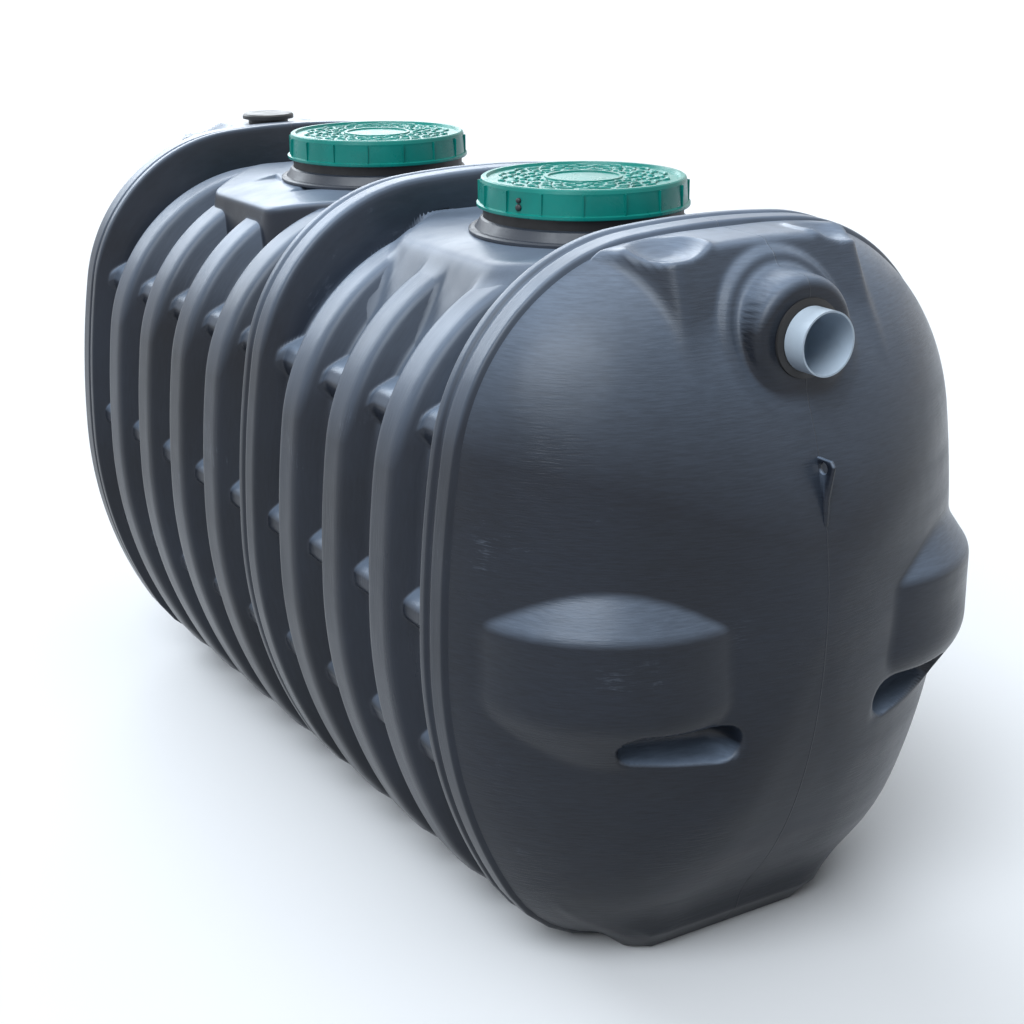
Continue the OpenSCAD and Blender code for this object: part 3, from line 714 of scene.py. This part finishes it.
def outermostZero(distance, shape):
    # the largest move at which the distance turns from inside to outside, by steps and then halvings
    first, last, stride = dome["search"]
    steps = np.arange(first, last, stride)
    low, high = np.full(shape, steps[0]), np.full(shape, steps[-1])
    before = distance(low)
    for step in steps[1:]:
        now = distance(np.full(shape, step))
        crossed = (before < 0) & (now >= 0)
        low, high = np.where(crossed, step - stride, low), np.where(crossed, step, high)
        before = now
    for _ in range(dome["halvings"]):
        middle = (low + high) / 2
        insideIt = distance(middle) < 0
        low, high = np.where(insideIt, middle, low), np.where(insideIt, high, middle)
    return (low + high) / 2


def makeDome(node, bossHeight, turn, counts, rowCount):
    # Every point of the plain dome is moved along its way to where the distance to the whole end is zero.
    d = dome
    shares = np.sin(np.linspace(0, 1, rowCount, endpoint=False) ** d["rowPower"] * math.pi / 2)
    outline = ovalOutline(np.full(rowCount, barrel["ringTop"]), counts)
    base = domeBase(outline, d["start"] + (1 - d["start"]) * shares)
    way, slant = domeWays(base, bossHeight)

    def distance(move):
        p = base + way * move[..., None]
        return domeFeatures(p[..., 0], p[..., 1], p[..., 2], bossHeight, move * slant)

    move = outermostZero(distance, slant.shape)
    move[0] = np.minimum(move[0], 0)
    points = base + way * move[..., None]
    points[..., 2] = np.maximum(points[..., 2], -barrel["widest"])
    points[..., 1] = np.minimum(points[..., 1], 0)
    rows, columns = points.shape[:2]
    points = np.concatenate([points.reshape(-1, 3), points[-1].mean(0)[None]])
    points[:, 2] += barrel["widest"]
    points[:, 1] -= ringFace
    quads = gridFaces(rows, columns)
    last = (rows - 1) * columns + np.arange(columns)
    tris = np.stack([last, np.roll(last, -1), np.full(columns, rows * columns)], -1)
    x, y, z = points[quads].mean(1).T
    inBore = np.hypot(x, z - bossHeight - barrel["widest"]) < d["holeRadius"]
    quads = quads[~(inBore & (y < -ringFace - d["holeFrom"]))]
    if turn:
        points = points * [-1, -1, 1]
    piece = meshPiece(node + "Skin", points, quads, domePlastic, tris)
    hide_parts(node)


makeDome("front_dome", bossHeight=547.0, turn=False, counts=(8, 56, 52, 64, 44), rowCount=170)
makeDome("rear_dome", bossHeight=517.0, turn=True, counts=(8, 34, 32, 48, 36), rowCount=120)

eye = dict(at=-326.0, up=349.0, middle=(25.0, -10.0), hole=10.0, points=96,
           halfThick=4.0, holeBevel=(1.4, 2.6), rimBevel=(2.0, 2.4),
           outline=((60, -140), (14, -133), (11, -60), (0, -4), (8, 6), (60, 6)))


def makeEye(name, turn):
    # a plate round a hole: rings of points where rays from the hole's middle meet its outline
    e = eye
    corners = np.array(e["outline"], dtype=float) - e["middle"]
    angle = np.linspace(0, 2 * math.pi, e["points"], endpoint=False)
    ray = np.stack([np.cos(angle), np.sin(angle)], -1)
    reach = np.full(e["points"], 1e9)
    for a, b in zip(corners, np.roll(corners, -1, 0)):
        side = b - a
        bottom = ray[:, 0] * side[1] - ray[:, 1] * side[0]
        t = (a[0] * side[1] - a[1] * side[0]) / bottom
        s = (a[0] * ray[:, 1] - a[1] * ray[:, 0]) / bottom
        reach = np.where((t > 0) & (s > -1e-6) & (s < 1 + 1e-6), np.minimum(reach, t), reach)
    # out along one face from the hole to the rim, then back along the other
    (holeOut, holeFlat), (rimIn, rimFlat) = e["holeBevel"], e["rimBevel"]
    face = [(e["hole"], holeFlat), (e["hole"] + holeOut, e["halfThick"]),
            (reach - rimIn, e["halfThick"]), (reach, rimFlat)]
    y, z = e["at"] + e["middle"][0], e["up"] + e["middle"][1]
    rows = [np.stack([x + 0 * angle, y + radius * ray[:, 0], z + radius * ray[:, 1]], -1)
            for radius, x in [(radius, -x) for radius, x in face] + face[::-1]]
    points = np.stack(rows) + [0, -ringFace, barrel["widest"]]
    if turn:
        points = points * [-1, -1, 1]
    quads = gridFaces(*points.shape[:2], closeRows=True)
    meshPiece(name, points, quads, domePlastic)


makeEye("frontEye", turn=False)
makeEye("rearEye", turn=True)
print("ends made")

lids = dict(plate=1363.0, rise=3.2, sunk=0.4, rows=(92.0, 113.0, 134.0, 155.0), sectors=28,
            length=0.72, width=9.0, narrowing=0.45, bend=7.0, bendTurn=0.9,
            across=(-1, -0.8, 0, 0.8, 1), alongCount=9, endShare=0.9, squareness=6)


def makeLidPads(name, y):
    # curved dashes in rings, each a low cushion whose ends lag behind the middle
    p = lids
    points, quads = [], []
    across, around = np.meshgrid(p["across"], np.linspace(-1, 1, p["alongCount"]), indexing="ij")
    end = p["endShare"] * np.abs(around) ** p["squareness"]
    height = p["rise"] * (1 - np.maximum(np.abs(across), end) ** p["squareness"])
    z = p["plate"] + height - p["sunk"]
    narrow = p["width"] / 2 * (1 - p["narrowing"] * around ** 2)
    half = math.pi / p["sectors"] * p["length"]
    for ring, radius in enumerate(p["rows"]):
        for i in range(p["sectors"]):
            middle = 2 * math.pi * (i + 0.5 * (ring % 2)) / p["sectors"]
            bend = p["bend"] * np.cos(around * math.pi / 2 * p["bendTurn"]) * (1 if (i + ring) % 2 else -1)
            r, a = radius + bend + across * narrow, middle + around * half
            points.append(np.stack([r * np.cos(a), y + r * np.sin(a), z], -1).reshape(-1, 3))
            dash = gridFaces(*across.shape, closeColumns=False, flip=True)
            quads.append(dash + across.size * len(quads))
    meshPiece(name, np.concatenate(points), np.concatenate(quads), greenPlastic)


# the rows of a stud are its reaches from the lid's axis, each with its share of the stud's radius
bolt = dict(at=(-183.0, -66.0), studs=((1330.0, 6.5), (1343.0, 5.0)), points=20,
            rows=((186, 1), (200, 1), (202, 0.85), (202.6, 0.05)))


def makeBolt(name, centre):
    # two small round studs on the lid's skirt, one above the other
    out = Vector((*bolt["at"], 0)).normalized()
    sideways = Vector((-out.y, out.x, 0))
    count, rows = bolt["points"], len(bolt["rows"])
    angle = np.linspace(0, 2 * math.pi, count, endpoint=False)
    points, quads = [], []
    for level, radius in bolt["studs"]:
        for reach, part in bolt["rows"]:
            a, h = radius * part * np.cos(angle), radius * part * np.sin(angle)
            x, y = out.x * reach + sideways.x * a, centre + out.y * reach + sideways.y * a
            points.append(np.stack([x, y, level + h], -1))
        quads.append(gridFaces(rows, count) + rows * count * len(quads))
    meshPiece(name, np.concatenate(points), np.concatenate(quads), capPlastic)


makeLidPads("frontLidPads", tables["front"]["centre"])
makeLidPads("rearLidPads", tables["rear"]["centre"])
makeBolt("frontLidBolt", tables["front"]["centre"])

fittings = dict(
    front_neck=neckPlastic, rear_neck=neckPlastic, front_seal=blackRubber, rear_seal=blackRubber,
    front_lid=greenPlastic, rear_lid=greenPlastic, inlet_pipe=greyPipe, outlet_pipe=greyPipe,
    inlet_gasket=blackRubber, outlet_gasket=blackRubber, vent_cap=capPlastic)
for node, material in fittings.items():
    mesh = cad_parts[node].data
    mesh.materials.clear()
    mesh.materials.append(material)
print("fittings made")

# the floor and the world look plain and pale, but give little light themselves
studio = dict(
    floorSize=40, floorSink=0.0005, floorSeen=(0.96, 0.96, 0.965, 1), floorBounce=(0.22, 0.22, 0.23, 1),
    worldSeen=(1, 1, 1, 1), worldColour=(0.90, 0.95, 1.0, 1), worldLight=0.14, sunDistance=3,
    # each sun stands towards this direction, with its strength, its width in degrees and its colour
    suns=dict(behind=((0.24, 0.86, 0.40), 1.4, 40, (0.86, 0.93, 1.0)),
              behindLeft=((-0.30, 0.80, 0.50), 1.2, 30, (0.84, 0.92, 1.0)),
              frontLeft=((-0.58, -0.34, 0.74), 1.9, 42, (0.86, 0.93, 1.0)),
              above=((-0.10, -0.10, 1.0), 0.9, 60, (0.92, 0.96, 1.0))))


def plainRays(tree):
    # 1 for the rays that show a surface directly, in a reflection or through something
    path = tree.nodes.new("ShaderNodeLightPath")
    seen = mathNode(tree, "MAXIMUM", path.outputs["Is Glossy Ray"], path.outputs["Is Transmission Ray"])
    return mathNode(tree, "MAXIMUM", path.outputs["Is Camera Ray"], seen)


def makeFloor():
    s = studio
    mesh = bpy.data.meshes.new("floor")
    size = s["floorSize"]
    corners = [(-size, -size, 0), (size, -size, 0), (size, size, 0), (-size, size, 0)]
    mesh.from_pydata(corners, [], [(0, 1, 2, 3)])
    floor = bpy.data.objects.new("floor", mesh)
    bpy.context.scene.collection.objects.link(floor)
    floor.location.z = -s["floorSink"]
    material, tree, shader = newMaterial("paleFloor")
    tree.links.new(mixColour(tree, plainRays(tree), s["floorBounce"], s["floorSeen"]),
                   shader.inputs["Base Color"])
    shader.inputs["Roughness"].default_value = 1.0
    shader.inputs["Specular IOR Level"].default_value = 0.0
    mesh.materials.append(material)


def makeWorld():
    s = studio
    world = bpy.data.worlds.new("studio")
    bpy.context.scene.world = world
    world.use_nodes = True
    tree = world.node_tree
    tree.nodes.clear()
    output = tree.nodes.new("ShaderNodeOutputWorld")
    mix = tree.nodes.new("ShaderNodeMixShader")
    tree.links.new(plainRays(tree), mix.inputs[0])
    for socket, colour, strength in ((1, s["worldColour"], s["worldLight"]), (2, s["worldSeen"], 1.0)):
        sky = tree.nodes.new("ShaderNodeBackground")
        sky.inputs[0].default_value = colour
        sky.inputs[1].default_value = strength
        tree.links.new(sky.outputs[0], mix.inputs[socket])
    tree.links.new(mix.outputs[0], output.inputs[0])


def makeSuns():
    for name, (toward, strength, spread, colour) in studio["suns"].items():
        lamp = bpy.data.lights.new(name, "SUN")
        lamp.energy, lamp.angle, lamp.color = strength, math.radians(spread), colour
        holder = bpy.data.objects.new(name, lamp)
        bpy.context.scene.collection.objects.link(holder)
        holder.location = Vector(toward) * studio["sunDistance"]
        holder.rotation_euler = (-Vector(toward)).to_track_quat("-Z", "Y").to_euler()


# angles in degrees: round to the right of +Y, down from level, and the camera's roll
view = dict(place=(-1.9364, -3.3796, 1.8654), yaw=31.4356, pitch=18.6211, roll=-0.4547,
            lens=64.04, sensor=36, clip=(0.1, 100))


def makeCamera():
    yaw, pitch, roll = [math.radians(view[key]) for key in ("yaw", "pitch", "roll")]
    forward = Vector((math.sin(yaw) * math.cos(pitch), math.cos(yaw) * math.cos(pitch), -math.sin(pitch)))
    right = Vector((math.cos(yaw), -math.sin(yaw), 0))
    up = right.cross(forward)
    turnedRight = right * math.cos(roll) + up * math.sin(roll)
    turnedUp = up * math.cos(roll) - right * math.sin(roll)
    camera = bpy.data.cameras.new("camera")
    camera.lens, camera.sensor_width = view["lens"], view["sensor"]
    camera.clip_start, camera.clip_end = view["clip"]
    holder = bpy.data.objects.new("camera", camera)
    bpy.context.scene.collection.objects.link(holder)
    turn = Matrix((turnedRight, turnedUp, -forward)).transposed().to_4x4()
    holder.matrix_world = Matrix.Translation(view["place"]) @ turn
    bpy.context.scene.camera = holder


makeFloor()
makeWorld()
makeSuns()
makeCamera()
bpy.context.scene.view_settings.view_transform = "Standard"
print("studio and camera made")
